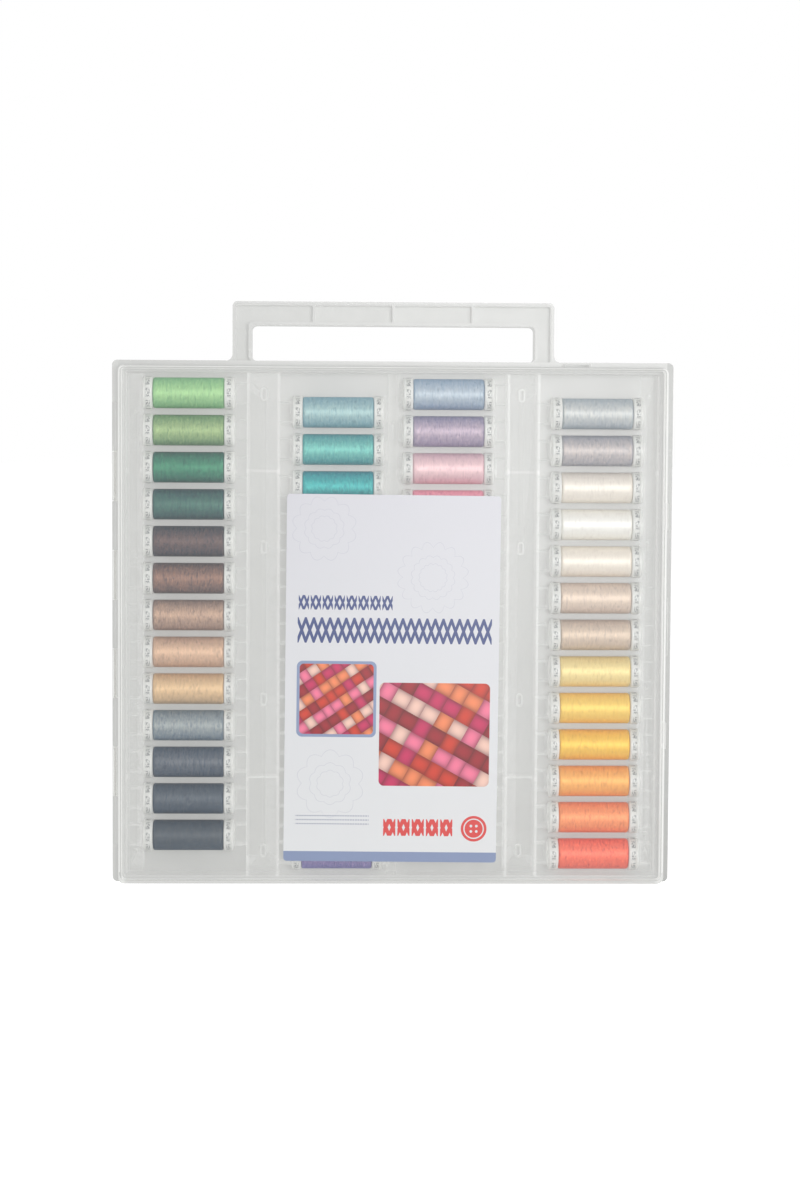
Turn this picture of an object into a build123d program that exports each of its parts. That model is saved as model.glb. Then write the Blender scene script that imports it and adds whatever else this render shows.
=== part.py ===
from build123d import *
import os

# A flat, upright case for spools of sewing thread, open to both sides of a centre frame.
# X runs across the case, Y from the front to the back and Z up. The case stands on Z = 0.
# The back half is the front half turned by half a turn about the Z axis.
# All sizes are in millimetres.

# Outline of the case, seen from the front
body_width = 331.0
body_height = 309.0
case_depth = 55.0
outline_radius = 3.0

# Centre frame: a thin web with a rim round it, two flanges outside the rim and ribs between them
web_thickness = 2.0
rim_wall = 1.8
flange_span = 24.0
flange_thickness = 2.0
lip_height = 3.0
groove_rib_thickness = 1.5
side_rib_count = 6
top_rib_inset = 22.0
foot_rib_count = 7

# Handle above the frame
handle_width = 190.0
handle_height = 35.0
handle_depth = 16.0
handle_web = 2.2
handle_wall = 2.0
handle_corner_radius = 3.0
handle_root_radius = 4.0
handle_leg = 11.4
handle_bar = 14.0
grip_corner_radius = 3.0
handle_rib_pitch = 47.0
handle_rib_thickness = 1.6

# Lids
lid_wall = 1.8
lid_edge_radius = 3.0
lid_corner_radius = 4.0
lid_draft = 2.0
lid_top_step = 2.8
lid_base_step = 0.4

# Hinges: knuckles in turn on the frame and on the lid, along one plastic pin
pin_radius = 0.9
barrel_radius = 1.8
knuckle_count = 9
hinge_end = 22.0
knuckle_floor = 2.0
pin_chamfer = 0.25

# Snap catches and the finger ridge on each lid's free edge
catch_width = 16.0
catch_thickness = 1.4
catch_hook = 0.7
catch_round = 0.5
catch_reach = 4.6
catch_spread = 130.0
top_catch_inset = 53.6
ridge_length = 34.0
ridge_height = 1.6
ridge_thickness = 1.6
ridge_round = 0.5

# Spools, which lie across the case in columns
spool_length = 53.4
spool_radius = 9.5
cap_width = 5.7
core_radius = 5.0
bore_radius = 3.0
winding_radius = 9.1
winding_shoulder = 1.2
cap_bevel = 0.6
snap_groove_width = 0.3
snap_groove_depth = 0.6
snap_groove_place = 1.5
spools_per_column = 13
middle_rail_room = 11.6
outer_rail_room = 10.6
end_room = 3.05
spool_web_gap = 0.8

# Rails that carry the spools
rail_base = 1.5
tab_thickness = 1.5
tab_height = 13.0
tab_reach = 5.0
tab_round = 2.2
gusset_thickness = 1.2
peg_length = 2.4
peg_bevel = 0.4
channel_share = 0.56
channel_wall = 1.5
channel_depth = 19.5
partition_share = 0.3053
partition_height = 9.0
spine_width = 6.2
spine_wall = 1.2
outer_rail_wall = 1.4
stake_width = 4.0
stake_length = 8.0
stake_bore_width = 1.8
stake_height = 1.4
small_stake_radius = 1.0

# Printed card on the front lid
card_width = 125.4
card_height = 216.2
card_thickness = 0.35
card_place = -0.4
card_base = 14.5
card_turn = 0.43
card_corner = 2.0

# Clearances
seat_gap = 0.3
running_gap = 0.05
peg_gap = 0.08
winding_gap = 0.1
cut_margin = 1.0
least_radius = 0.5

# Sizes that follow from those above
half_width = body_width / 2
half_depth = case_depth / 2
half_span = flange_span / 2
hinge_x = half_width - barrel_radius
lid_half_width = hinge_x - barrel_radius - seat_gap
lid_edge_y = half_span + seat_gap
lid_reach = half_depth - lid_edge_y
lid_low = lid_base_step
lid_high = body_height - lid_top_step
rim_step = lid_wall + seat_gap
rim_half_width = lid_half_width - rim_step
rim_low = lid_low + rim_step
rim_high = lid_high - rim_step
rim_radius = lid_corner_radius - rim_step
rim_reach = half_span + lip_height
tray_half_width = rim_half_width - rim_wall
tray_low = rim_low + rim_wall
tray_high = rim_high - rim_wall
tray_radius = max(rim_radius - rim_wall, least_radius)
tray_middle = (tray_low + tray_high) / 2
web_face = web_thickness / 2
spool_y = web_face + spool_web_gap + spool_radius
inner_column = middle_rail_room / 2 + spool_length / 2
outer_column = tray_half_width - outer_rail_room - spool_length / 2
column_places = [-outer_column, -inner_column, inner_column, outer_column]
column_room = tray_high - tray_low - 2 * end_room - 2 * spool_radius
spool_pitch = column_room / (spools_per_column - 0.5)
column_stagger = spool_pitch / 2
channel_room = outer_column - inner_column - spool_length
channel_width = channel_share * channel_room
channel_place = (inner_column + outer_column) / 2
rail_low = tray_low + seat_gap
rail_high = tray_high - seat_gap
partition_pitch = partition_share * (rail_high - rail_low)
base_top = web_face + rail_base
tab_top = spool_y + tab_reach
stake_places = [partition_pitch * step for step in (-1.5, -0.5, 0.5, 1.5)]
grip_width = handle_width - 2 * handle_leg
grip_low = body_height
grip_high = body_height + handle_height - handle_bar
top_catch_place = lid_half_width - top_catch_inset


def box_between(x_low, x_high, y_low, y_high, z_low, z_high):
    """A box given by its limits along each axis."""
    size = (x_high - x_low, y_high - y_low, z_high - z_low)
    middle = ((x_low + x_high) / 2, (y_low + y_high) / 2, (z_low + z_high) / 2)
    return Pos(*middle) * Box(*size)


def upright_plate(half_x, z_low, z_high, radius, y_low, y_high):
    """A plate with rounded corners that stands across the case."""
    outline = RectangleRounded(2 * half_x, z_high - z_low, radius)
    plane = Plane((0, y_high, (z_low + z_high) / 2), x_dir=(1, 0, 0), z_dir=(0, -1, 0))
    return extrude(plane * outline, y_high - y_low)


def turned_back(shape):
    """The same piece on the back of the case."""
    return Rot(0, 0, 180) * shape


def knuckle_spans():
    """The low and high end of each hinge knuckle, from the bottom up."""
    low = lid_low + hinge_end
    high = lid_high - hinge_end
    pitch = (high - low + seat_gap) / knuckle_count
    return [(low + pitch * step, low + pitch * (step + 1) - seat_gap) for step in range(knuckle_count)]


def barrel(span, radius):
    """A round bar along the front lid's hinge axis."""
    low, high = span
    return Pos(-hinge_x, -half_span, (low + high) / 2) * Cylinder(radius, high - low)


def rim_ring(y_low, y_high):
    """The wall that runs round the tray."""
    outside = upright_plate(rim_half_width, rim_low, rim_high, rim_radius, y_low, y_high)
    inside = upright_plate(tray_half_width, tray_low, tray_high, tray_radius, y_low, y_high)
    return outside - inside


def flange(y_low, y_high):
    """A flat ring from the rim out to the outline of the case."""
    plate = upright_plate(half_width, 0, body_height, outline_radius, y_low, y_high)
    return plate - upright_plate(tray_half_width, tray_low, tray_high, tray_radius, y_low, y_high)


def groove_ribs():
    """Thin ribs that tie the two flanges together round the rim."""
    half_rib = groove_rib_thickness / 2
    inner_y = half_span - flange_thickness
    side_pitch = body_height / side_rib_count
    foot_pitch = 2 * rim_half_width / foot_rib_count
    ribs = []
    for step in range(1, side_rib_count):
        z = side_pitch * step
        for side in (-1, 1):
            ends = sorted((side * (rim_half_width - rim_wall / 2), side * half_width))
            ribs.append(box_between(*ends, -inner_y, inner_y, z - half_rib, z + half_rib))
    for step in range(1, foot_rib_count):
        x = foot_pitch * step - rim_half_width
        ribs.append(box_between(x - half_rib, x + half_rib, -inner_y, inner_y, 0, tray_low))
    ribs.append(box_between(-half_rib, half_rib, -inner_y, inner_y, 0, tray_low))
    for x in (-handle_width / 2 - top_rib_inset, handle_width / 2 + top_rib_inset):
        ribs.append(box_between(x - half_rib, x + half_rib, -inner_y, inner_y, tray_high, body_height))
    return ribs


def handle_seat():
    """A plate that closes the groove under the handle, and the wall that carries it."""
    reach = handle_width / 2 + handle_root_radius
    inner_y = half_span - flange_thickness
    low = body_height - flange_thickness
    plate = box_between(-reach, reach, -inner_y, inner_y, low, body_height)
    wall = box_between(-reach, reach, -web_face, web_face, tray_high, low)
    return plate + wall


def handle_outline(inset, radius):
    """The face of the handle, drawn in from its outline by an inset."""
    low = body_height
    high = body_height + handle_height - inset
    plane = Plane((0, 0, (low + high) / 2), x_dir=(1, 0, 0), z_dir=(0, -1, 0))
    shape = plane * Rectangle(handle_width - 2 * inset, high - low)
    corners = shape.vertices().group_by(Axis.Z)[-1]
    return fillet(corners, radius)


def grip_outline(growth):
    """The face of the finger opening, grown on all sides but the lowest."""
    low = grip_low
    high = grip_high + growth
    plane = Plane((0, 0, (low + high) / 2), x_dir=(1, 0, 0), z_dir=(0, -1, 0))
    return plane * RectangleRounded(grip_width + 2 * growth, high - low, grip_corner_radius)


def handle_loop():
    """The handle's legs and bar: a web with a flange along each edge."""
    half_handle = handle_depth / 2
    half_web = handle_web / 2
    inner_radius = max(handle_corner_radius - handle_wall, least_radius)
    whole = extrude(handle_outline(0, handle_corner_radius), half_handle, both=True)
    channel = extrude(handle_outline(handle_wall, inner_radius), half_handle, both=True)
    channel -= extrude(grip_outline(handle_wall), half_handle, both=True)
    channel -= box_between(-half_width, half_width, -half_web, half_web, 0, 2 * body_height)
    ribs = []
    rib_top = body_height + handle_height - handle_wall
    for place in (-handle_rib_pitch, 0, handle_rib_pitch):
        x_ends = (place - handle_rib_thickness / 2, place + handle_rib_thickness / 2)
        ribs.append(box_between(*x_ends, -half_handle, half_handle, grip_high, rib_top))
    shape = whole - channel + ribs
    return shape - extrude(grip_outline(0), case_depth, both=True)


def handle_roots():
    """Small fillets where the handle's legs meet the top of the body."""
    half_handle = handle_depth / 2
    radius = handle_root_radius
    roots = []
    for side in (-1, 1):
        x = side * handle_width / 2
        ends = sorted((x, x + side * radius))
        corner = box_between(*ends, -half_handle, half_handle, body_height, body_height + radius)
        bar = Rot(90, 0, 0) * Cylinder(radius, handle_depth)
        roots.append(corner - Pos(x + side * radius, 0, body_height + radius) * bar)
    return roots


def make_handle():
    """The carrying handle, which stands on the top of the frame and is welded to it."""
    return handle_loop() + handle_roots()


def stake(x, z):
    """An oval stake on the web, with a hollow top, that fixes a channel strip."""
    top = base_top + stake_height
    outline = Rot(0, 0, 90) * SlotOverall(stake_length, stake_width)
    bore_length = stake_length - stake_width + stake_bore_width
    hollow = Rot(0, 0, 90) * SlotOverall(bore_length, stake_bore_width)
    plane = Plane((x, -web_face / 2, z), x_dir=(1, 0, 0), z_dir=(0, -1, 0))
    return extrude(plane * (outline - hollow), top - web_face / 2)


def round_stake(x, z):
    """A small round stake on the web that fixes one of the narrow rails."""
    top = base_top + stake_height
    plane = Plane((x, -web_face / 2, z), x_dir=(1, 0, 0), z_dir=(0, -1, 0))
    return extrude(plane * Circle(small_stake_radius), top - web_face / 2)


def outer_rail_x():
    """Where the outer rail's stakes stand, between its wall and its tabs."""
    tab_inner = outer_column + spool_length / 2 + seat_gap + tab_thickness
    wall_inner = tray_half_width - seat_gap - outer_rail_wall
    return (tab_inner + wall_inner) / 2


def all_stakes():
    """The stakes of one face of the web."""
    stakes = []
    for z in stake_places:
        for x in (-channel_place, channel_place):
            stakes.append(stake(x, tray_middle + z))
        for x in (-outer_rail_x(), 0, outer_rail_x()):
            stakes.append(round_stake(x, narrow_stake_z(x, z)))
    return stakes


def narrow_stake_z(x, z):
    """Stakes of the narrow rails stand between two tabs, so they take the nearest free height."""
    stagger = column_stagger / 2 * (1 if x <= 0 else -1)
    steps = round((z - stagger) / spool_pitch - 0.5)
    free = (steps + 0.5) * spool_pitch + stagger
    if x == 0:
        free = (steps + 0.5) * spool_pitch
    return tray_middle + free


def hinge_windows():
    """Cuts in the front flange where the lid's knuckles turn."""
    reach = barrel_radius + seat_gap
    cuts = []
    for low, high in knuckle_spans()[1::2]:
        x_ends = (-half_width - cut_margin, -hinge_x + reach)
        y_ends = (-half_span - reach, -half_span + reach)
        cuts.append(box_between(*x_ends, *y_ends, low - seat_gap, high + seat_gap))
    return cuts


def catch_slots():
    """Slots in the front flange that the lid's catches pass through."""
    half_cut = catch_width / 2 + seat_gap
    inward = catch_hook + seat_gap
    outward = catch_thickness + seat_gap
    y_ends = (-half_span - cut_margin, -half_span + catch_reach + cut_margin)
    side_ends = (lid_half_width - inward, lid_half_width + outward)
    top_ends = (lid_high - inward, lid_high + outward)
    cuts = [box_between(*side_ends, *y_ends, z - half_cut, z + half_cut) for z in catch_heights()]
    x_ends = (top_catch_place - half_cut, top_catch_place + half_cut)
    cuts.append(box_between(*x_ends, *y_ends, *top_ends))
    return cuts


def catch_heights():
    """Heights of the two catches on the lid's free side."""
    middle = (lid_low + lid_high) / 2
    return [middle - catch_spread / 2, middle + catch_spread / 2]


def front_details():
    """What the front face of the frame adds: knuckles and stakes."""
    knuckles = [barrel(span, barrel_radius) for span in knuckle_spans()[0::2]]
    return knuckles + all_stakes()


def front_cuts():
    """What the front face of the frame leaves open: hinge windows, catch slots and the hinge's bore."""
    spans = knuckle_spans()
    bore = barrel((spans[0][0] + knuckle_floor, spans[-1][1]), pin_radius + running_gap)
    return hinge_windows() + catch_slots() + [bore]


def make_centre_frame():
    """The frame, one moulding with its web, rim and flanges."""
    web = upright_plate(rim_half_width, rim_low, rim_high, rim_radius, -web_face, web_face)
    shape = web + rim_ring(-rim_reach, rim_reach)
    shape += flange(-half_span, -half_span + flange_thickness)
    shape += flange(half_span - flange_thickness, half_span)
    shape += groove_ribs()
    shape += handle_seat()
    shape += front_details()
    shape += [turned_back(piece) for piece in front_details()]
    shape -= front_cuts()
    shape -= [turned_back(piece) for piece in front_cuts()]
    return shape


def lid_block(inset, depth, edge_radius, corner_radius):
    """A solid block with the lid's drafted sides and rounded front edge."""
    low = lid_low + inset
    high = lid_high - inset
    half_x = lid_half_width - inset
    outline = RectangleRounded(2 * half_x, high - low, corner_radius)
    plane = Plane((0, -lid_edge_y, (low + high) / 2), x_dir=(1, 0, 0), z_dir=(0, -1, 0))
    block = extrude(plane * outline, depth, taper=lid_draft)
    front_edges = block.faces().sort_by(Axis.Y)[0].edges()
    return fillet(front_edges, edge_radius)


def lid_knuckles():
    """The lid's hinge knuckles, with the roots that join them to its side wall."""
    pieces = []
    for low, high in knuckle_spans()[1::2]:
        root_x = -lid_half_width + lid_wall / 2
        pieces.append(barrel((low, high), barrel_radius))
        pieces.append(box_between(-hinge_x, root_x, -half_span - barrel_radius, -lid_edge_y, low, high))
    return pieces


def make_catch():
    """One snap catch: a tongue that runs back past the flange and ends in a small hook."""
    half_catch = catch_width / 2
    root_y = -lid_edge_y - catch_reach
    tip_y = -half_span + catch_reach
    hook_y = tip_y - catch_thickness
    tongue = box_between(0, catch_thickness, root_y, tip_y, -half_catch, half_catch)
    root = box_between(-lid_wall, catch_thickness, root_y, -lid_edge_y, -half_catch, half_catch)
    hook = box_between(-catch_hook, catch_thickness, hook_y, tip_y, -half_catch, half_catch)
    shape = tongue + root + hook
    corners = shape.edges().filter_by(Axis.Y).sort_by(Axis.X)[-2:]
    return fillet(corners, catch_round)


def lid_catches():
    """Two catches on the free side and one on the top edge."""
    pieces = [Pos(lid_half_width, 0, z) * make_catch() for z in catch_heights()]
    pieces.append(Pos(top_catch_place, 0, lid_high) * Rot(0, -90, 0) * make_catch())
    return pieces


def finger_ridge():
    """A low ridge between the catches, to pull the lid open by."""
    middle = (lid_low + lid_high) / 2
    y = -(lid_edge_y + lid_reach / 3)
    x_ends = (lid_half_width - lid_wall, lid_half_width + ridge_height)
    z_ends = (middle - ridge_length / 2, middle + ridge_length / 2)
    ridge = box_between(*x_ends, y, y + ridge_thickness, *z_ends)
    return fillet(ridge.edges().filter_by(Axis.Z).sort_by(Axis.X)[-2:], ridge_round)


def make_lid():
    """The front lid: a shallow drafted tray with knuckles, catches and a ridge."""
    outside = lid_block(0, lid_reach, lid_edge_radius, lid_corner_radius)
    inner_edge = lid_edge_radius - lid_wall
    inner_corner = lid_corner_radius - lid_wall
    inside = lid_block(lid_wall, lid_reach - lid_wall, inner_edge, inner_corner)
    added = lid_knuckles() + lid_catches() + [finger_ridge()]
    shape = outside + added
    shape -= inside
    spans = knuckle_spans()
    return shape - barrel((spans[0][0], spans[-1][1]), pin_radius + running_gap)


def make_hinge_pin():
    """The plastic pin, which stands on the floor of the lowest knuckle."""
    spans = knuckle_spans()
    span = (spans[0][0] + knuckle_floor, spans[-1][1])
    pin = barrel(span, pin_radius)
    return chamfer(pin.edges().filter_by(GeomType.CIRCLE), pin_chamfer)


def spool_places(column):
    """The middle of each spool of a column, from the top down."""
    stagger = column_stagger / 2 * (1 if column % 2 == 0 else -1)
    top = tray_middle + stagger + spool_pitch * (spools_per_column - 1) / 2
    x = column_places[column]
    return [(x, -spool_y, top - spool_pitch * step) for step in range(spools_per_column)]


def turned_profile(points):
    """A closed outline of points, each a place along the axis and a radius, turned about X."""
    face = make_face(Polyline([(along, out, 0) for along, out in points], close=True))
    return revolve(face, Axis.X)


def spool_body():
    """One empty spool about the X axis: a tube with a cap at each end and a groove in each cap."""
    end = spool_length / 2
    flank = end - cap_width
    groove = end - snap_groove_place
    half = [
        (flank, core_radius),
        (flank, spool_radius - cap_bevel),
        (flank + cap_bevel, spool_radius),
        (groove - snap_groove_width, spool_radius),
        (groove - snap_groove_width, spool_radius - snap_groove_depth),
        (groove, spool_radius - snap_groove_depth),
        (groove, spool_radius),
        (end - cap_bevel, spool_radius),
        (end, spool_radius - cap_bevel),
        (end, bore_radius),
    ]
    other = [(-along, out) for along, out in reversed(half)]
    return turned_profile(half + other)


def winding_body():
    """The thread wound on one spool, with rounded shoulders beside the caps."""
    end = spool_length / 2 - cap_width - winding_gap
    inner = core_radius + winding_gap
    shoulder = winding_shoulder
    section = [(-end, inner), (end, inner), (end, winding_radius), (-end, winding_radius)]
    face = make_face(Polyline(section, close=True))
    outer_corners = face.vertices().group_by(Axis.Y)[-1]
    return revolve(fillet(outer_corners, shoulder), Axis.X)


def placed(shape, places):
    """Copies of one shape at each place, kept as separate solids."""
    return Compound(children=[Pos(*place) * shape for place in places])


def tab(toward):
    """A tab with its peg, beside a spool's end at X = 0. The peg points along X by the sign given."""
    foot = -toward * (seat_gap + tab_thickness)
    x_ends = sorted((-toward * seat_gap, foot))
    plate = box_between(*x_ends, -tab_top, -web_face, -tab_height / 2, tab_height / 2)
    upper = plate.edges().filter_by(Axis.X).group_by(Axis.Y)[0]
    plate = fillet(upper, tab_round)
    whole_length = peg_length + seat_gap + tab_thickness
    peg = Rot(0, toward * 90, 0) * Cylinder(bore_radius - peg_gap, whole_length)
    tip = peg.edges().filter_by(GeomType.CIRCLE).sort_by(Axis.X, reverse=toward < 0)[-1]
    peg = chamfer(tip, peg_bevel)
    shift = toward * (peg_length - seat_gap - tab_thickness) / 2
    return plate + Pos(shift, -spool_y, 0) * peg


def gussets(x_ends):
    """Two plates that tie a tab back to the wall of its rail."""
    outer = tab_height / 2
    inner = outer - gusset_thickness
    reach = spool_y
    high = box_between(*x_ends, -reach, -web_face, inner, outer)
    low = box_between(*x_ends, -reach, -web_face, -outer, -inner)
    return [high, low]


def tabs_along(column, side, wall_x):
    """The tabs at one end of a column, each tied to a rail wall at the given place."""
    end = column_places[column] + side * spool_length / 2
    face = end + side * seat_gap
    x_ends = sorted((face, wall_x))
    pieces = []
    for _, _, z in spool_places(column):
        shape = Pos(end, 0, z) * tab(-side)
        shape += [Pos(0, 0, z) * plate for plate in gussets(x_ends)]
        pieces.append(shape)
    return pieces


def rail_floor(x_low, x_high, trim=0):
    """The base of a rail, flat on the web, with its ends trimmed short of the tray's corners."""
    return box_between(x_low, x_high, -base_top, -web_face, rail_low + trim, rail_high - trim)


def rail_wall(x_low, x_high, height, trim=0):
    """A wall that stands along the whole rail."""
    return box_between(x_low, x_high, -height, -web_face, rail_low + trim, rail_high - trim)


def oval_holes(x):
    """Slots in a strip's base that take the oval stakes."""
    length = stake_length + 2 * peg_gap
    width = stake_width + 2 * peg_gap
    holes = []
    for z in stake_places:
        plane = Plane((x, 0, tray_middle + z), x_dir=(1, 0, 0), z_dir=(0, -1, 0))
        holes.append(extrude(plane * (Rot(0, 0, 90) * SlotOverall(length, width)), 2 * base_top))
    return holes


def round_holes(x):
    """Holes in a narrow rail's base that take the round stakes."""
    holes = []
    for z in stake_places:
        plane = Plane((x, 0, narrow_stake_z(x, z)), x_dir=(1, 0, 0), z_dir=(0, -1, 0))
        holes.append(extrude(plane * Circle(small_stake_radius + peg_gap), 2 * base_top))
    return holes


def make_channel_strip(side):
    """A wide open channel between an outer and an inner column, with two partitions."""
    centre = side * channel_place
    half = channel_width / 2
    reach = web_face + channel_depth
    shape = rail_floor(centre - half, centre + half)
    shape += rail_wall(centre - half, centre - half + channel_wall, reach)
    shape += rail_wall(centre + half - channel_wall, centre + half, reach)
    for step in (-1, 1):
        z = tray_middle + step * partition_pitch
        z_ends = (z - channel_wall / 2, z + channel_wall / 2)
        x_ends = (centre - half, centre + half)
        shape += box_between(*x_ends, -web_face - partition_height, -web_face, *z_ends)
    return shape - oval_holes(centre)


def make_channel_tabs(side):
    """The tabs on both walls of a channel strip, one solid for each spool end."""
    centre = side * channel_place
    half = channel_width / 2
    columns = (0, 1) if side < 0 else (2, 3)
    left = tabs_along(columns[0], 1, centre - half)
    right = tabs_along(columns[1], -1, centre + half)
    return Compound(children=left + right)


def make_middle_rail():
    """The narrow rail between the two inner columns."""
    half = spine_width / 2
    shape = rail_floor(-half, half)
    shape += rail_wall(-half, -half + spine_wall, spool_y)
    shape += rail_wall(half - spine_wall, half, spool_y)
    shape += tabs_along(1, 1, -half + spine_wall / 2)
    shape += tabs_along(2, -1, half - spine_wall / 2)
    return shape - round_holes(0)


def make_outer_rail(side):
    """The rail along one side of the tray, with tabs for the outer column."""
    column = 0 if side < 0 else 3
    outside = side * (tray_half_width - seat_gap)
    inside = side * (tray_half_width - seat_gap - outer_rail_wall)
    tab_face = column_places[column] + side * (spool_length / 2 + seat_gap)
    shape = rail_floor(*sorted((outside, tab_face)), trim=tray_radius)
    shape += rail_wall(*sorted((outside, inside)), spool_y, trim=tray_radius)
    shape += tabs_along(column, side, (outside + inside) / 2)
    return shape - round_holes(side * outer_rail_x())


def make_card():
    """The printed card, flat on the face of the front lid and turned a little clockwise."""
    outline = Rot(0, 0, -card_turn) * RectangleRounded(card_width, card_height, card_corner)
    middle = (card_place, -half_depth, card_base + card_height / 2)
    plane = Plane(middle, x_dir=(1, 0, 0), z_dir=(0, -1, 0))
    return extrude(plane * outline, card_thickness)


def write(name, shape):
    """Write one sub-part to its own file."""
    export_step(shape, os.path.join("parts", name + ".step"))


def write_both(name, shape):
    """Write a piece of the front half and its copy on the back."""
    write("front_" + name, shape)
    write("back_" + name, turned_back(shape))


def write_spools():
    """Write each column: its top spool, which is free to turn, and the rest as a group."""
    empty = spool_body()
    wound = winding_body()
    for column in range(len(column_places)):
        places = spool_places(column)
        number = str(column + 1)
        write_both("top_spool_" + number, Pos(*places[0]) * empty)
        write_both("top_thread_" + number, Pos(*places[0]) * wound)
        write_both("spools_" + number, placed(empty, places[1:]))
        write_both("threads_" + number, placed(wound, places[1:]))


def write_rails():
    """Write the five rails of each half."""
    write_both("outer_rail_left", make_outer_rail(-1))
    write_both("outer_rail_right", make_outer_rail(1))
    write_both("channel_strip_left", make_channel_strip(-1))
    write_both("channel_strip_right", make_channel_strip(1))
    write_both("channel_tabs_left", make_channel_tabs(-1))
    write_both("channel_tabs_right", make_channel_tabs(1))
    write_both("middle_rail", make_middle_rail())


os.makedirs("parts", exist_ok=True)
write("centre_frame", make_centre_frame())
write("carrying_handle", make_handle())
write_both("lid", make_lid())
write_both("hinge_pin", make_hinge_pin())
write("cover_card", make_card())
write_rails()
write_spools()
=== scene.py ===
# %% [markdown]
# # A thread storage case
# The real case is a flat, frosted plastic box that opens to both sides. A centre wall carries
# rails, the rails carry columns of thread spools, and a clear lid covers each side.
# The shapes come from the packed CAD model, which this script loads as a fixed frame.
# What is added here makes it look real: hazy plastic, wound thread, white spool caps, a printed
# card, soft studio light and the camera.

# %% Load the frame
import bmesh
import bpy
import math
import random
from mathutils import Matrix, Vector


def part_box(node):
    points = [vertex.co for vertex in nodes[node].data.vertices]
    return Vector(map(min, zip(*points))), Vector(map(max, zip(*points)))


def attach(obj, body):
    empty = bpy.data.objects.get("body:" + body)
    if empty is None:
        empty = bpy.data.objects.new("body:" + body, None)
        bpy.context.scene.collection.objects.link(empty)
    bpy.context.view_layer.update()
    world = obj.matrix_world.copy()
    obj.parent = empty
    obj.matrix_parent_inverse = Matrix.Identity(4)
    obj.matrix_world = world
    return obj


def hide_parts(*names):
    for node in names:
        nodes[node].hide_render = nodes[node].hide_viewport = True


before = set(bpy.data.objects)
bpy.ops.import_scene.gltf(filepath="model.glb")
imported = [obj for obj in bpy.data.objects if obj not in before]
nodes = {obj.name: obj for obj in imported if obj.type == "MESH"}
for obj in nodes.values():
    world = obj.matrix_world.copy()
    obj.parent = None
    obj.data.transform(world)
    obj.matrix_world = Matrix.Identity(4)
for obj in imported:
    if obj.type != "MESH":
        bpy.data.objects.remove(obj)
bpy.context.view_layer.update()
MM = 0.001

# %% [markdown]
# ## Writing materials as sums
# A node tree is quick to draw by hand but long to write. A small class that wraps a socket lets
# Python's own signs make the Math nodes, so a mask can be written as `1 - abs(height) / 2`.
# The other nodes all come from one method, which takes settings first and then the inputs.

# %% A value that does sums
class Value:
    """A number on its way through a material."""

    def __init__(self, finish, socket):
        self.finish = finish
        self.socket = socket

    def maths(self, operation, first, second=0.0):
        made = self.finish.node("ShaderNodeMath", {"operation": operation}, {0: first, 1: second})
        return Value(self.finish, made.outputs[0])

    def __add__(self, other):
        return self.maths("ADD", self, other)

    def __radd__(self, other):
        return self.maths("ADD", other, self)

    def __sub__(self, other):
        return self.maths("SUBTRACT", self, other)

    def __rsub__(self, other):
        return self.maths("SUBTRACT", other, self)

    def __mul__(self, other):
        return self.maths("MULTIPLY", self, other)

    def __rmul__(self, other):
        return self.maths("MULTIPLY", other, self)

    def __truediv__(self, other):
        return self.maths("DIVIDE", self, other)

    def __pow__(self, other):
        return self.maths("POWER", self, other)

    def __mod__(self, other):
        return self.maths("FLOORED_MODULO", self, other)

    def __gt__(self, other):
        return self.maths("GREATER_THAN", self, other)

    def __lt__(self, other):
        return self.maths("LESS_THAN", self, other)

    def __abs__(self):
        return self.maths("ABSOLUTE", self)

    def at_least(self, other):
        return self.maths("MAXIMUM", self, other)

    def at_most(self, other):
        return self.maths("MINIMUM", self, other)


print("named sums", [name for name in vars(Value) if not name.startswith("_")])


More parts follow.
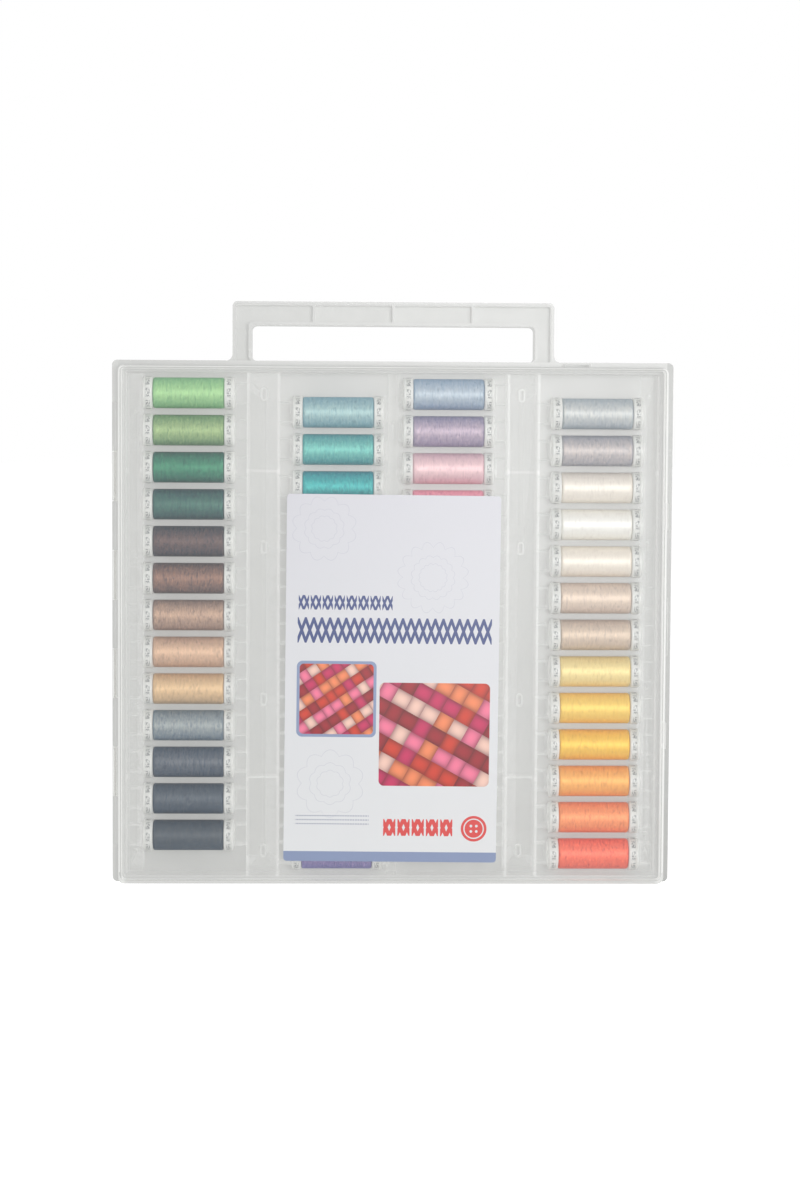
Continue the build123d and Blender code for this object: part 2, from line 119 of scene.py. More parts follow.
# %% A finish, which is a material under construction
class Finish:
    """A material with one method for all its nodes."""

    def __init__(self, name, **constants):
        self.material = bpy.data.materials.new(name)
        self.material.use_nodes = True
        self.tree = self.material.node_tree
        self.shader = self.tree.nodes["Principled BSDF"]
        for socket_name, value in constants.items():
            self.shader.inputs[socket_name.replace("_", " ")].default_value = value

    def node(self, kind, settings=None, inputs=None):
        made = self.tree.nodes.new(kind)
        for name, value in (settings or {}).items():
            setattr(made, name, value)
        for name, value in (inputs or {}).items():
            self.feed(made.inputs[name], value)
        return made

    def feed(self, socket, value):
        if isinstance(value, Value):
            self.tree.links.new(value.socket, socket)
        elif isinstance(value, bpy.types.NodeSocket):
            self.tree.links.new(value, socket)
        else:
            socket.default_value = value

    def shade_with(self, **inputs):
        for name, value in inputs.items():
            self.feed(self.shader.inputs[name.replace("_", " ")], value)

    def place(self):
        """The X, Y and Z of a point on the piece, in millimetres."""
        source = self.node("ShaderNodeTexCoord")
        split = self.node("ShaderNodeSeparateXYZ", inputs={0: source.outputs["Object"]})
        return [Value(self, socket) / MM for socket in split.outputs]

    def backward(self):
        """How squarely a face looks back: 1 on a back face, -1 on a front face, 0 on a side wall."""
        source = self.node("ShaderNodeTexCoord")
        split = self.node("ShaderNodeSeparateXYZ", inputs={0: source.outputs["Normal"]})
        return Value(self, split.outputs["Y"])

    def facing(self):
        """How squarely a face looks to the front or the back: 1 on a flat face, 0 on a side wall."""
        return abs(self.backward())

    def join(self, x, y, z):
        """A vector from three values."""
        return self.node("ShaderNodeCombineXYZ", inputs={0: x, 1: y, 2: z}).outputs[0]

    def noise(self, vector, detail=2.0, roughness=0.5):
        """Soft random variation between 0 and 1 over the given vector."""
        sockets = {"Vector": vector, "Scale": 1.0, "Detail": detail, "Roughness": roughness}
        return Value(self, self.node("ShaderNodeTexNoise", inputs=sockets).outputs[0])

    def mix(self, amount, first, second):
        """A colour between two others."""
        sockets = {"Factor": amount, 6: first, 7: second}
        return self.node("ShaderNodeMix", {"data_type": "RGBA"}, sockets).outputs[2]

    def tint(self, first, second):
        """One colour multiplied by another."""
        sockets = {"Factor": 1.0, 6: first, 7: second}
        settings = {"data_type": "RGBA", "blend_type": "MULTIPLY"}
        return self.node("ShaderNodeMix", settings, sockets).outputs[2]

    def bump(self, height, distance, strength):
        """A normal tilted by a height in millimetres."""
        sockets = {"Height": height, "Distance": distance * MM, "Strength": strength}
        return self.node("ShaderNodeBump", inputs=sockets).outputs[0]


def dress(finish, *names):
    """Give CAD nodes a better material."""
    for name in names:
        for slot in nodes[name].material_slots:
            slot.material = finish.material


print("a finish can", [name for name in vars(Finish) if not name.startswith("_")])


# %% Colours are written as they look on a screen
def linear(level):
    """How much light a screen level between 0 and 1 stands for."""
    return ((level + 0.055) / 1.055) ** 2.4 if level > 0.04 else level / 12.92


def colour(code):
    """The linear colour of a six-digit screen code."""
    levels = [int(code[place:place + 2], 16) / 255 for place in (0, 2, 4)]
    return tuple(linear(level) for level in levels) + (1.0,)


print("a mid grey", [round(level, 3) for level in colour("808080")])

# %% [markdown]
# ## Camera
# The camera is placed first, because every choice of detail depends on what it sees. Its place
# was found by matching edges and corners of the case in the photograph: a long lens about a metre
# and a half away, a little above the middle and a little to the left. The focal length was found
# in pixels of a picture 1200 pixels high, and the sensor's longer side turns it into millimetres.

# %% Place the camera
frame_height = 1200
focal_pixels = 2510.4
camera_place = Vector((-0.0379, -1.4963, 0.2569))
camera_target = Vector((0.0045, -0.0120, 0.16821))
camera_roll = 0.0056
camera_data = bpy.data.cameras.new("photo_camera")
camera_data.lens = camera_data.sensor_width * focal_pixels / frame_height
camera = bpy.data.objects.new("photo_camera", camera_data)
camera.location = camera_place
aim = (camera_target - camera_place).to_track_quat("-Z", "Y").to_matrix()
camera.rotation_euler = (aim @ Matrix.Rotation(camera_roll, 3, "Z")).to_euler()
bpy.context.scene.collection.objects.link(camera)
bpy.context.scene.camera = camera
bpy.context.scene.view_settings.view_transform = "Standard"
print("lens", round(camera_data.lens, 1), "mm")

# %% [markdown]
# ## White studio
# A product photograph on white has light from everywhere, and a broad lamp near the camera that
# lays a soft band along every round spool. The world gives the even light. To the camera the world
# and the floor are pure white, and the floor still shows the soft shadow of the case.

# %% World
ambient_level = 0.36
walls_to_see_through = 32
world = bpy.data.worlds.new("studio")
bpy.context.scene.world = world
world.use_nodes = True
sky = world.node_tree
paths = sky.nodes.new("ShaderNodeLightPath")
level = sky.nodes.new("ShaderNodeMapRange")
level.inputs["To Min"].default_value = ambient_level
level.inputs["To Max"].default_value = 1.0
sky.links.new(paths.outputs["Is Camera Ray"], level.inputs["Value"])
sky.links.new(level.outputs[0], sky.nodes["Background"].inputs["Strength"])
sky.nodes["Background"].inputs["Color"].default_value = (1, 1, 1, 1)
bpy.context.scene.cycles.transparent_max_bounces = walls_to_see_through
print("ambient level", ambient_level)

# %% Floor
floor_half = 40.0
floor_mesh = bpy.data.meshes.new("studio_floor")
floor_work = bmesh.new()
bmesh.ops.create_grid(floor_work, x_segments=1, y_segments=1, size=floor_half)
floor_work.to_mesh(floor_mesh)
floor_work.free()
floor = bpy.data.objects.new("studio_floor", floor_mesh)
bpy.context.scene.collection.objects.link(floor)
floor_finish = Finish("floor_white", Roughness=0.9, Specular_IOR_Level=0.0, Emission_Strength=0.74)
floor_paths = floor_finish.node("ShaderNodeLightPath")
seen = Value(floor_finish, floor_paths.outputs["Is Camera Ray"])
floor_finish.shade_with(
    Base_Color=colour("EEEEEE"),
    Emission_Color=floor_finish.mix(seen, (0, 0, 0, 1), (1, 1, 1, 1)),
)
floor_mesh.materials.append(floor_finish.material)
print("floor", 2 * floor_half, "m wide")


# %% Lamps
def lamp(name, place, target, size, power):
    """A wide square lamp that looks at a point."""
    data = bpy.data.lights.new(name, "AREA")
    data.size = size
    data.energy = power
    made = bpy.data.objects.new(name, data)
    made.location = place
    made.rotation_euler = (Vector(target) - Vector(place)).to_track_quat("-Z", "Y").to_euler()
    bpy.context.scene.collection.objects.link(made)


case_middle = (0, 0, 0.17)
lamp("front_softbox", (0.35, -2.25, 0.36), case_middle, size=0.8, power=26)
lamp("left_softbox", (-1.6, -0.9, 0.6), case_middle, size=0.9, power=3)
lamp("right_softbox", (1.6, -0.9, 0.5), case_middle, size=0.9, power=7)
print("lamps", len(bpy.data.lights))

# %% [markdown]
# ## Frosted plastic
# The case is thin, milky polypropylene. Looked through squarely it is a light haze, and looked
# at edge on it is denser, because the light runs along the wall. Real scattering through a dozen
# thin walls would render slowly, so the haze is made by transparency that depends on which way a
# face looks. Milky plastic also passes light on from wall to wall, which keeps its corners from
# going dark. A low, even glow stands for that light, and is painted light. It is a little stronger
# where light gathers, as a painted highlight on wall tips, rounded edges and small raised details,
# and weaker on the right side of the rim, as painted shade. A fine grain and a slow waviness keep
# the faces from looking like glass.

# %% A recipe for frosted plastic
# The lowest millimetres get no painted highlight on their rounded edges
low_edge = 8.0
rounded_facing, rounded_spread = 0.72, 0.2
cloud_size, grain_size = 28, 0.7
wave_width, wave_height = 14, 9


def frosted(name, tone, face_haze, wall_haze, face_glow, wall_glow, edge_light=0.0, more_glow=None):
    """Milky plastic: haze and painted glow on flat faces and side walls, and more glow where a rule says
    so.
    """
    finish = Finish(name, IOR=1.49, Emission_Strength=1.0)
    x, y, z = finish.place()
    facing = finish.facing()
    walls = (1 - facing) ** 0.7
    # Painted highlight: rounded edges above the lowest millimetres get more glow and haze
    rounding = (1 - abs(facing - rounded_facing) / rounded_spread).at_least(0) * (z > low_edge)
    haze = face_haze + walls * (wall_haze - face_haze) + rounding * edge_light
    glow = face_glow + walls * (wall_glow - face_glow) + rounding * edge_light
    if more_glow:
        glow = glow + more_glow(x, y, z)
    cloud = finish.noise(finish.join(x / cloud_size, y / cloud_size, z / cloud_size))
    grain = finish.noise(finish.join(x / grain_size, y / grain_size, z / grain_size))
    wave = finish.noise(finish.join(x / wave_width, y / wave_width, z / wave_height))
    glow = glow * (0.94 + cloud * 0.12)
    finish.shade_with(
        Base_Color=colour(tone),
        Emission_Color=finish.join(glow, glow, glow * 0.985),
        Alpha=(haze * (0.92 + cloud * 0.16)).at_most(1),
        Roughness=0.28 + grain * 0.12,
        Normal=finish.bump(wave * 0.2 + grain * 0.02, 1.0, 0.35),
    )
    return finish


print("waves of the surface", wave_width, "mm wide")

# %% Where light gathers
# Places and half widths in millimetres, and then how much painted glow each place adds or takes
rim_x, lid_side_x = 161.8, 157.5
strip_x, strip_middle, strip_reach = 76.45, 153.3, 145
stake_half, stake_depth = 2.3, 2.6
partition_z, partition_half, partition_depth = 90.8, 1.3, 9.0
tip_depth = 18.0
left_rim_glow, right_rim_shade = 0.04, 0.14
stake_glow, tip_glow, partition_glow, lid_side_glow = 0.07, 0.3, 0.25, 0.1


def rim_and_stakes(x, y, z):
    """Painted highlight on the oval stakes and the rim's left side, painted shade on its right side."""
    on_strip = (abs(abs(x) - strip_x) < stake_half) * (abs(z - strip_middle) < strip_reach)
    stakes = on_strip * (abs(y) > stake_depth)
    return (x < -rim_x) * left_rim_glow - (x > rim_x) * right_rim_shade + stakes * stake_glow


def tips_and_partitions(x, y, z):
    """Painted highlights on the tips of the rails' walls and the front edges of the cross partitions."""
    partitions = (abs(abs(z - strip_middle) - partition_z) < partition_half) * (abs(y) > partition_depth)
    return (abs(y) > tip_depth) * tip_glow + partitions * partition_glow


def lid_sides(x, y, z):
    """Painted highlight on the lids' left and right walls: a bright line seen from the front."""
    return (abs(x) > lid_side_x) * (abs(x) < rim_x) * lid_side_glow


print("partitions", round(2 * partition_z, 1), "mm apart")

# %% Dress the frame, the handle, the rails and the lids
frame_finish = frosted("frosted_frame", "979896", face_haze=0.88, wall_haze=0.6, face_glow=0.285,
                       wall_glow=0.34, more_glow=rim_and_stakes)
handle_finish = frosted("frosted_handle", "A6A7A5", face_haze=0.8, wall_haze=0.6, face_glow=0.22,
                        wall_glow=0.42)
rail_finish = frosted("frosted_rails", "A6A7A5", face_haze=0.2, wall_haze=0.14, face_glow=0.4,
                      wall_glow=0.62, more_glow=tips_and_partitions)
lid_finish = frosted("clear_frosted_lid", "B0B1AF", face_haze=0.07, wall_haze=0.95, face_glow=0.2,
                     wall_glow=0.34, edge_light=0.3, more_glow=lid_sides)
rail_names = [name for name in nodes if "rail" in name or "channel" in name]
dress(frame_finish, "centre_frame")
dress(handle_finish, "carrying_handle")
dress(rail_finish, *rail_names)
dress(lid_finish, "front_lid", "back_lid")
print("rails and tabs", len(rail_names))

# %% [markdown]
# ## Hinge pins
# Each lid turns on a length of white plastic rod. The rod is drawn, which leaves fine lines along
# it, so the roughness varies quickly round the pin and slowly along it.

# %% Dress the pins
line_width, line_length = 0.05, 12
rod = Finish("white_rod", Base_Color=colour("E6E6E2"))
x, y, z = rod.place()
lines = rod.noise(rod.join(x / line_width, y / line_width, z / line_length))
rod.shade_with(Roughness=0.3 + lines * 0.2, Normal=rod.bump(lines, 0.01, 0.3))
dress(rod, "front_hinge_pin", "back_hinge_pin")

# %% [markdown]
# ## White spools
# The spools are white moulded plastic. A faint glow in their own colour is painted light, for the
# light that passes through the white plastic. Round each cap runs a band of plain grey tick marks,
# worked out from the angle round the spool. One material serves a whole column, because the spools
# repeat at an even pitch: the height within one pitch and the depth give the angle.

# %% Where the spools are
spool_count = 13
column_boxes = {number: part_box(f"front_top_spool_{number}") for number in range(1, 5)}
group_boxes = {number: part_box(f"front_spools_{number}") for number in range(1, 5)}
top_heights = {number: (low.z + high.z) / 2 for number, (low, high) in column_boxes.items()}
spool_low, spool_high = column_boxes[1]
spool_radius = (spool_high.z - spool_low.z) / 2
spool_length = spool_high.x - spool_low.x
spool_depth = -(spool_low.y + spool_high.y) / 2
lowest_height = group_boxes[1][0].z + spool_radius
pitch = (top_heights[1] - lowest_height) / (spool_count - 1)
print("spool", round(spool_length / MM, 2), "mm long, pitch", round(pitch / MM, 2), "mm")


# %% White plastic with tick marks
band_inset, band_half = 3.0, 1.2
mark_width, moulded_grain = 0.8, 0.4
marks_per_radian, groups_per_radian, grains_per_radian = 14, 1.3, 8
group_start, group_share = 0.35, 0.72


def spool_plastic(name, mirror, number):
    """The caps and tube of one column of spools, which is mirrored from left to right on the back."""
    # A faint painted glow stands for light passing through the white plastic
    finish = Finish(name, IOR=1.5, Emission_Strength=0.12)
    x, y, z = finish.place()
    pitch_mm = pitch / MM
    height = (z - top_heights[number] / MM + pitch_mm / 2) % pitch_mm - pitch_mm / 2
    angle = height.maths("ARCTAN2", height, abs(y) - spool_depth / MM)
    low, high = column_boxes[number]
    from_centre = abs(x - (low.x + high.x) / 2 / MM * mirror)
    band = abs(from_centre - (spool_length / MM / 2 - band_inset)) < band_half
    marks_at = finish.join(angle * marks_per_radian, from_centre / mark_width, angle)
    marks = finish.noise(marks_at, detail=1.0) > 0.5
    groups = ((angle * groups_per_radian + group_start) % 1) < group_share
    base = finish.mix(band * marks * groups * 0.8, colour("DEDFDC"), colour("6C7073"))
    grain_at = finish.join(from_centre / moulded_grain, angle * grains_per_radian, height / moulded_grain)
    grain = finish.noise(grain_at)
    # The painted glow takes the plastic's own colour
    finish.shade_with(Base_Color=base, Emission_Color=base, Roughness=0.32 + grain * 0.12)
    return finish


for number in column_boxes:
    for side_name, mirror in (("front", 1), ("back", -1)):
        finish = spool_plastic(f"{side_name}_spool_white_{number}", mirror, number)
        dress(finish, f"{side_name}_spools_{number}", f"{side_name}_top_spool_{number}")
print("columns", 2 * len(column_boxes))

# %% [markdown]
# ## Wound thread
# Each spool carries many layers of fine satin thread. Its turns are too fine to model one by one,
# so the winding is spun from an outline with rounded shoulders and shallow bands, and the turns
# themselves are streaks in the colour and in the bump. One mesh holds a whole column, and a colour
# attribute gives each spool its shade, so that one material dresses them all.
# The colour also holds painted sheen and shade, a painted blue reflection, painted shadow dashes and
# painted glints.

# %% Shades, by their everyday names
greens_to_slate = {
    "spring_green": "A4D8A0", "sage": "9CBE8C", "emerald": "0A8A6E", "dark_teal": "0E6864",
    "plum_brown": "55404A", "brown": "8C6A62", "rosy_taupe": "BEA294", "pinkish_tan": "DEBEA8",
    "wheat": "E6C8A2", "steel_grey": "98A6B2", "slate": "4E5E74", "dark_slate": "3A5068",
    "near_black": "30465C",
}
aqua_to_purple = {
    "pale_aqua": "A2C8D4", "turquoise": "6CC6C6", "teal": "2CBCC4", "petrol": "148A9C",
    "ocean": "1C74A8", "cobalt": "1E5CAE", "royal": "2A46A2", "navy": "24357E",
    "indigo": "33307A", "violet_blue": "44389A", "blue_violet": "5842A8", "purple": "5C38A0",
    "deep_purple": "A496CE",
}
blue_to_wine = {
    "light_blue": "B4C6DC", "lilac": "BAAECA", "pale_pink": "F4D4DE", "rose_pink": "FFB4CC",
    "hot_pink": "F0709E", "magenta": "DC4488", "raspberry": "C02C64", "crimson": "B81E3E",
    "red": "C22028", "dark_red": "9A1820", "wine": "761824", "burgundy": "5C1424", "plum": "4C1A34",
}
grey_to_coral = {
    "silver_grey": "CAD1D8", "warm_grey": "C4C1C9", "cream": "F8F2EA", "white": "FDFCF8",
    "ecru": "FAF3E9", "beige": "E8D8CC", "taupe_beige": "DECEC1", "pale_yellow": "FBE8A8",
    "amber": "FFDB70", "golden": "FFD254", "light_orange": "FFBC66", "coral_orange": "FFA06C",
    "coral_red": "FF7862",
}
red_to_rose = {"red": "B8202C", "rose": "F2B4B8"}
purple_to_lilac = {"purple": "54307E", "lilac": "D8C2E4"}
navy_to_sky = {"navy": "1E2C5C", "sky": "A8CCEA"}
olive_to_lime = {"olive": "4C5A20", "lime": "D2E28C"}


def dye_run(named, count):
    """The shades of one column: as named, or spread evenly between two of them."""
    shades = [colour(code) for code in named.values()]
    if len(shades) == count:
        return shades
    first, last = shades
    steps = [step / (count - 1) for step in range(count)]
    return [tuple(a + (b - a) * step for a, b in zip(first, last)) for step in steps]


palettes = {
    ("front", 1): greens_to_slate, ("front", 2): aqua_to_purple,
    ("front", 3): blue_to_wine, ("front", 4): grey_to_coral,
    ("back", 1): red_to_rose, ("back", 2): purple_to_lilac,
    ("back", 3): navy_to_sky, ("back", 4): olive_to_lime,
}
print("palettes", len(palettes))


# %% Spin one winding
winding_low, winding_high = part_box("front_top_thread_1")
winding_half = (winding_high.x - winding_low.x) / 2
winding_radius = (winding_high.z - winding_low.z) / 2
winding_core = 5.1 * MM
shoulder = 1.3 * MM
shoulder_steps = 4
band_pitch = 1.05 * MM
band_depth = 0.07 * MM
turn_steps = 32


def winding_outline():
    """Half of a winding's section, from the core out over the shoulders and back."""
    points = [(-winding_half, winding_core)]
    for step in range(shoulder_steps + 1):
        turn = math.pi / 2 * step / shoulder_steps
        along = -winding_half + shoulder * (1 - math.sin(math.pi / 2 - turn))
        out = winding_radius - shoulder * (1 - math.cos(math.pi / 2 - turn))
        points.append((along, out))
    bands = int(2 * (winding_half - shoulder) / band_pitch)
    for band in range(1, bands):
        along = -winding_half + shoulder + band * 2 * (winding_half - shoulder) / bands
        points.append((along, winding_radius - band_depth * (band % 2)))
    for step in range(shoulder_steps + 1):
        turn = math.pi / 2 * step / shoulder_steps
        along = winding_half - shoulder * (1 - math.sin(turn))
        out = winding_radius - shoulder * (1 - math.cos(turn))
        points.append((along, out))
    points.append((winding_half, winding_core))
    return points


def spin_winding():
    """One closed winding round the X axis."""
    work = bmesh.new()
    ring = [work.verts.new((along, 0, out)) for along, out in winding_outline()]
    edges = [work.edges.new((a, b)) for a, b in zip(ring, ring[1:] + ring[:1])]
    bmesh.ops.spin(work, geom=ring + edges, cent=(0, 0, 0), axis=(1, 0, 0), angle=2 * math.pi,
                   steps=turn_steps, use_merge=True)
    bmesh.ops.remove_doubles(work, verts=work.verts, dist=0.001 * MM)
    bmesh.ops.recalc_face_normals(work, faces=work.faces)
    for face in work.faces:
        face.smooth = True
    mesh = bpy.data.meshes.new("one_winding")
    work.to_mesh(mesh)
    work.free()
    return mesh


one_winding = spin_winding()
print("faces in one winding", len(one_winding.polygons))


# %% Satin thread
# Tints for the painted sheen in the middle of each spool, and the painted shade and reflection at its
# edges
plain_tint, warm_tint = (1.0, 1.0, 0.99, 1), (1.12, 1.05, 0.92, 1)
warm_shine, cool_shadow = (1.0, 0.8, 0.55, 1), (0.06, 0.15, 0.24, 1)
# Tints for the painted shadow dashes and the painted glints
dash_shadow_tint, glint_tint = (0.64, 0.6, 0.6, 1), (1.6, 1.55, 1.5, 1)


def satin_thread():
    """Fine turns that run round the spool, with a painted sheen, warm where seen squarely,
    and a painted shade, deeper and cooler at the edges.
    """
    finish = Finish("satin_thread", Specular_IOR_Level=0.4)
    x, y, z = finish.place()

    def streaks(width, length, detail=2.0, roughness=0.5, shift=0):
        """Soft variation stretched along the turns of the thread, in millimetres."""
        return finish.noise(finish.join(x / width, y / length + shift, z / length), detail, roughness)

    def flecks(variation, level, sharpness):
        """Short marks where a variation rises above a level."""
        return ((variation - level) * sharpness).at_least(0).at_most(1)

    turns = streaks(0.9, 9, detail=3.0, roughness=0.75)
    layers = streaks(2.6, 5)
    crossing = streaks(0.8, 1.2)
    # Painted shadow: dark dashes where crossing threads shade the turns
    shadow_dashes = flecks(streaks(1.1, 3.2), level=0.54, sharpness=7)
    # Painted highlight: light glints, strongest on dark shades
    glints = flecks(streaks(0.9, 2.4, shift=7), level=0.56, sharpness=8)
    streak = turns * 0.6 + layers * 0.15 + crossing * 0.25 - 0.5

    shade = finish.node("ShaderNodeAttribute", {"attribute_name": "shade"}).outputs["Color"]
    bright = Value(finish, finish.node("ShaderNodeRGBToBW", inputs={0: shade}).outputs[0])
    red = Value(finish, finish.node("ShaderNodeSeparateColor", inputs={0: shade}).outputs[0])
    dark = (1 - bright).at_least(0) ** 1.2
    # Painted shade and a painted blue reflection make the deeper, cooler edge colour
    rich = finish.node("ShaderNodeGamma", inputs={"Color": shade, "Gamma": 1.2}).outputs[0]
    turned = finish.tint(rich, finish.join(red * 0.46 + 0.5, bright * 0.26 + 0.69, 0.92))
    deep = finish.mix(dark * 0.34, turned, cool_shadow)
    # Painted sheen: a warmer, lighter colour where the thread is seen squarely
    warmth = finish.mix((dark * 2.5).at_most(1), plain_tint, warm_tint)
    warm = finish.mix(dark * 0.05, finish.tint(shade, warmth), warm_shine)

    # The thread's facing picks painted sheen in the middle and painted shade at the edges
    sheen = Value(finish, finish.node("ShaderNodeLayerWeight", inputs={"Blend": 0.5}).outputs["Facing"])
    edge = ((sheen + 0.001) ** 0.5 * 1.25 + streak * 2.2).at_least(0).at_most(1) * (1 - red * 0.4)
    wound = finish.mix(edge, warm, deep)
    # The painted shadow dashes darken the wound colour
    with_shadow_dashes = finish.mix(shadow_dashes * (dark * 0.5 + 0.2), wound, finish.tint(deep, dash_shadow_tint))
    # The base colour gets the painted glints on top of the painted shadow dashes
    finish.shade_with(
        Base_Color=finish.mix(glints * dark * 0.5, with_shadow_dashes, finish.tint(warm, glint_tint)),
        Metallic=(0.22 + streak * 0.8).at_least(0),
        Roughness=0.44 + turns * 0.14,
        Normal=finish.bump(turns * 0.05 + layers * 0.03, 1.0, 0.5),
    )
    return finish


thread_finish = satin_thread()
print("nodes in the thread's finish", len(thread_finish.tree.nodes))


# %% Wind every spool
def wind(name, body, places, shades, node):
    """One mesh with a winding at each place, each in its own shade."""
    work = bmesh.new()
    layer = work.verts.layers.float_color.new("shade")
    for place, shade in zip(places, shades):
        start = len(work.verts)
        work.from_mesh(one_winding)
        work.verts.ensure_lookup_table()
        added = work.verts[start:]
        for vert in added:
            vert[layer] = shade
        spin = Matrix.Rotation(random.uniform(0, math.tau), 4, "X")
        bmesh.ops.transform(work, matrix=Matrix.Translation(place) @ spin, verts=added)
    mesh = bpy.data.meshes.new(name)
    work.to_mesh(mesh)
    work.free()
    mesh.materials.append(thread_finish.material)
    piece = bpy.data.objects.new(name, mesh)
    bpy.context.scene.collection.objects.link(piece)
    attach(piece, body)
    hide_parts(node)


random.seed(7)
for (side_name, number), named in palettes.items():
    low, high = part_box(f"{side_name}_top_thread_{number}")
    top = (low + high) / 2
    places = [top - Vector((0, 0, pitch * step)) for step in range(spool_count)]
    shades = dye_run(named, spool_count)
    top_name = f"{side_name}_top_thread_{number}"
    top_body = f"{side_name}_top_spool_{number}"
    wind(f"{side_name}_top_winding_{number}", top_body, places[:1], shades[:1], top_name)
    wind(f"{side_name}_windings_{number}", "case", places[1:], shades[1:], f"{side_name}_threads_{number}")
print("windings", len(palettes) * spool_count)

# %% [markdown]
# ## Printed card
# A coated paper card lies on the front lid. It is printed with plain sewing motifs: rows of
# decorative stitches, two panels of woven ribbons in warm colours, a button and faint rosettes.
# They are drawn by sums on the card's own coordinates, which keeps their edges crisp at any
# distance. The card is a little askew, so the sums first turn its coordinates to match.

# %% Coordinates on the card
card = Finish("printed_card", Roughness=0.34, IOR=1.46)
card_low, card_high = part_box("cover_card")
card_turn = math.radians(0.43)
card_wide, card_tall = 125.4, 216.2
right_of, card_y, above = card.place()
right_of = right_of - (card_low.x + card_high.x) / 2 / MM
above = above - (card_low.z + card_high.z) / 2 / MM
across = right_of * math.cos(card_turn) - above * math.sin(card_turn) + card_wide / 2
up = above * math.cos(card_turn) + right_of * math.sin(card_turn) + card_tall / 2
print("card", card_wide, "mm wide and", card_tall, "mm tall")

# %% Drawing tools for the card
edge_blur = 0.12


def inside(distance):
    """1 where a distance is below zero, with a thin soft edge."""
    return (0.5 - distance / edge_blur).at_least(0).at_most(1)


def panel(left, right, low, high, corner=0.2):
    """A mask for a rounded rectangle."""
    off_x = (abs(across - (left + right) / 2) - ((right - left) / 2 - corner)).at_least(0)
    off_z = (abs(up - (low + high) / 2) - ((high - low) / 2 - corner)).at_least(0)
    return inside((off_x * off_x + off_z * off_z) ** 0.5 - corner)


def distance_from(x, z):
    """How far each point of the card is from one point."""
    off_x = across - x
    off_z = up - z
    return (off_x * off_x + off_z * off_z) ** 0.5


def disc(x, z, radius):
    """A mask for a round spot."""
    return inside(distance_from(x, z) - radius)


def ring(x, z, radius, width):
    """A mask for a thin ring."""
    return inside(abs(distance_from(x, z) - radius) - width / 2)


print("soft edge", edge_blur, "mm wide")

# %% Woven ribbons for the two panels
ribbon_codes = ("D03A22", "F08A5A", "C8285E", "F0C8B8", "A01C28", "F07A9A")
ribbon_colours = [colour(code) for code in ribbon_codes]
dip_tint = (0.4, 0.3, 0.35, 1)
crown_power = 2.2


def pick(which, shades):
    """One of a few shades, by a whole number that grows without end."""
    turn = which % len(shades)
    result = shades[0]
    for step, shade in enumerate(shades[1:], 1):
        result = card.mix(turn > step - 0.5, result, shade)
    return result


def ribbon(crown, crossing_crown, shade):
    """A ribbon's colour, full on its crown and darker where it dips."""
    return card.mix(crown * (crossing_crown * 0.5 + 0.5), card.tint(shade, dip_tint), shade)


def woven(turn, width, shades):
    """Ribbons that pass over and under each other."""
    along = (across * math.cos(turn) + up * math.sin(turn)) / width
    over_to = (up * math.cos(turn) - across * math.sin(turn)) / width
    in_warp = along % 1
    in_weft = over_to % 1
    column = along - in_warp
    row = over_to - in_weft
    on_top = ((column + row) % 2) > 0.5
    warp_crown = 1 - abs(in_warp * 2 - 1) ** crown_power
    weft_crown = 1 - abs(in_weft * 2 - 1) ** crown_power
    warp = ribbon(warp_crown, weft_crown, pick(column, shades))
    weft = ribbon(weft_crown, warp_crown, pick(row + 2, shades))
    return card.mix(on_top, warp, weft)


print("ribbon colours", len(ribbon_colours))


# %% Stitches and rosettes
cross_share = 0.86
rosette_line, inner_line = 0.16, 0.14
inner_rings = (0.62, 0.4)


def zigzag(first, pitch, low, high, width):
    """One row of slanting stitches that climb and fall between two heights."""
    phase = abs(((across - first) / pitch) % 1 - 0.5) * 2
    line = low + phase * (high - low)
    slope = 2 * (high - low) / pitch
    return inside(abs(up - line) / math.hypot(1, slope) - width / 2)


def crosses(first, last, pitch, low, high, width):
    """A row of cross stitches."""
    gap = abs(((across - first) / pitch) % 1 - 0.5) * 2 < cross_share
    both = zigzag(first, pitch, low, high, width) + zigzag(first + pitch / 2, pitch, low, high, width)
    return both.at_most(1) * gap * panel(first, last, low, high)


def rosette(x, z, radius, lobes):
    """Scalloped outlines round a point, drawn thin and faint."""
    reach = distance_from(x, z)
    turn = up.maths("ARCTAN2", up - z, across - x)
    scallop = abs(turn.maths("SINE", turn * (lobes / 2)))
    lines = inside(abs(reach - radius * (0.84 + scallop * 0.16)) - rosette_line)
    for part in inner_rings:
        lines = lines + inside(abs(reach - radius * part * (0.9 + scallop * 0.1)) - inner_line)
    return lines.at_most(1)


print("outlines in a rosette", 1 + len(inner_rings))
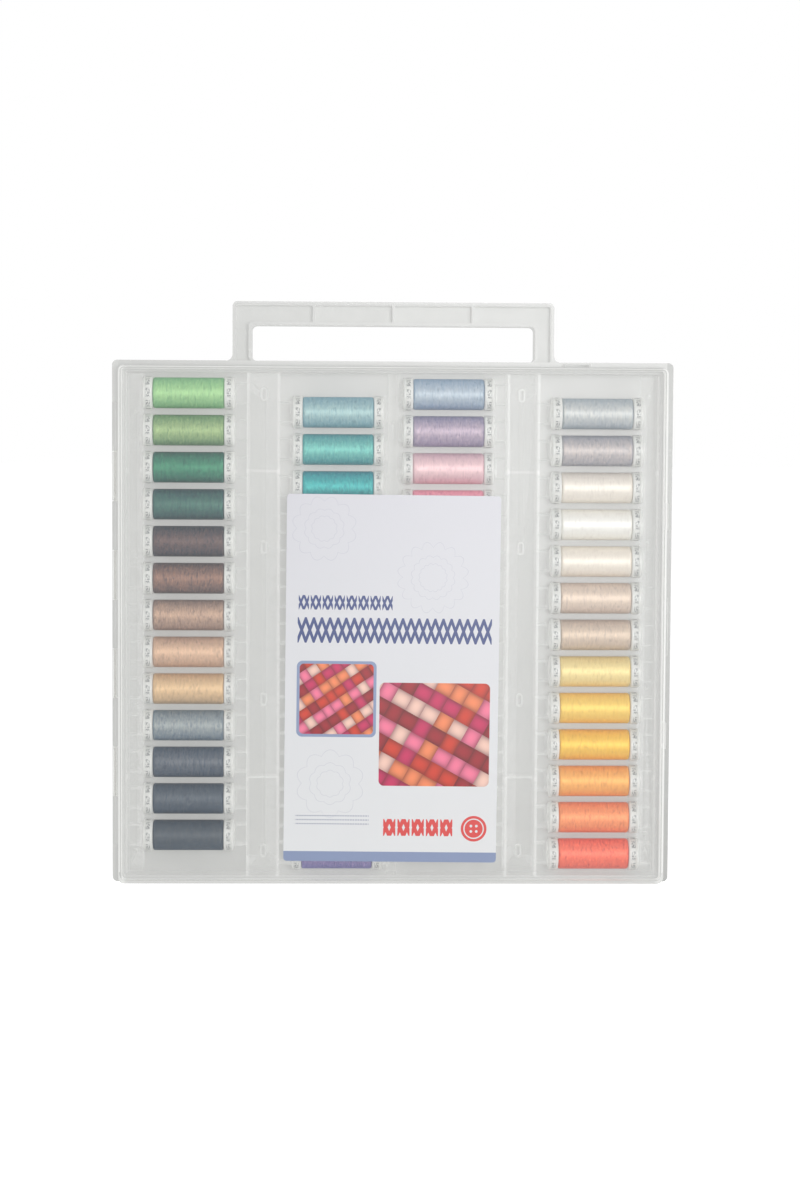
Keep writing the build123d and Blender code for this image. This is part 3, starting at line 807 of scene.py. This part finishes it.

# %% Paper with rosettes and rows of stitches
# Painted shade: the paper darkens towards the top, to even out lamp light that is weaker below
paper = card.mix(up / card_tall, colour("E0E2E3"), colour("CDCDD3"))
blue_grey = colour("8896B6")
ink = colour("3E4C80")
coral = colour("D84A48")
look = paper
for x, z, radius, lobes in ((22, 196, 19, 12), (86, 168, 21, 16), (27, 46, 20, 10)):
    look = card.mix(rosette(x, z, radius, lobes) * 0.4, look, colour("A6A8B8"))
wide_low, wide_high = 130, 143
stitches = crosses(7, 63, pitch=7, low=148.5, high=157, width=1.3)
for first in (7, 11.75):
    row = zigzag(first, pitch=9.5, low=wide_low, high=wide_high, width=1.7)
    stitches = stitches + row * panel(7, 121, low=wide_low - 1, high=wide_high + 1)
look = card.mix(stitches.at_most(1), look, ink)
print("wide row of stitches", wide_high - wide_low, "mm tall")

# %% Panels of ribbons
look = card.mix(panel(6.8, 53.6, low=73.6, high=118.4, corner=3.4), look, blue_grey)
small_panel = panel(8.5, 51.9, low=75.3, high=116.7, corner=2.4)
look = card.mix(small_panel, look, woven(0.6, 6.2, ribbon_colours))
large_panel = panel(55.5, 120.5, low=45, high=106, corner=3.2)
look = card.mix(large_panel, look, woven(-0.5, 9.4, ribbon_colours[::-1]))
print("shader nodes so far", len(card.tree.nodes))

# %% Small stitches, a button and the lower band
small_pitch, small_share, small_half = 1.5, 0.7, 0.32
button_x, button_z, button_radius = 112, 20, 7.6
hole_offset, hole_radius = 1.6, 0.8
small = ((across / small_pitch) % 1) < small_share
for z in (27, 24.6, 22.2):
    dashed = inside(abs(up - z) - small_half) * small * panel(6.8, 50, z - 1, z + 1)
    look = card.mix(dashed * 0.6, look, ink)
look = card.mix(crosses(58, 100, pitch=8.4, low=15.4, high=25.4, width=2.2), look, coral)
button = disc(button_x, button_z, button_radius) - ring(button_x, button_z, 5.7, width=0.7)
for x in (-hole_offset, hole_offset):
    for z in (-hole_offset, hole_offset):
        button = button - disc(button_x + x, button_z + z, hole_radius)
look = card.mix(button.at_least(0), look, coral)
look = card.mix(panel(-5, card_wide + 5, low=-5, high=5.9), look, blue_grey)
print("button", 2 * button_radius, "mm wide")

# %% A plain back and the paper's fibres
fibre_size = 0.25
# The plain back shows the same paper, with its painted shade
look = card.mix(card.backward() > 0.5, look, paper)
fibre = card.noise(card.join(across / fibre_size, card_y, up / fibre_size))
card.shade_with(Base_Color=look, Roughness=0.3 + fibre * 0.1, Normal=card.bump(fibre, 0.01, 0.3))
dress(card, "cover_card")
print("shader nodes in the card", len(card.tree.nodes))

# %% [markdown]
# ## Finish
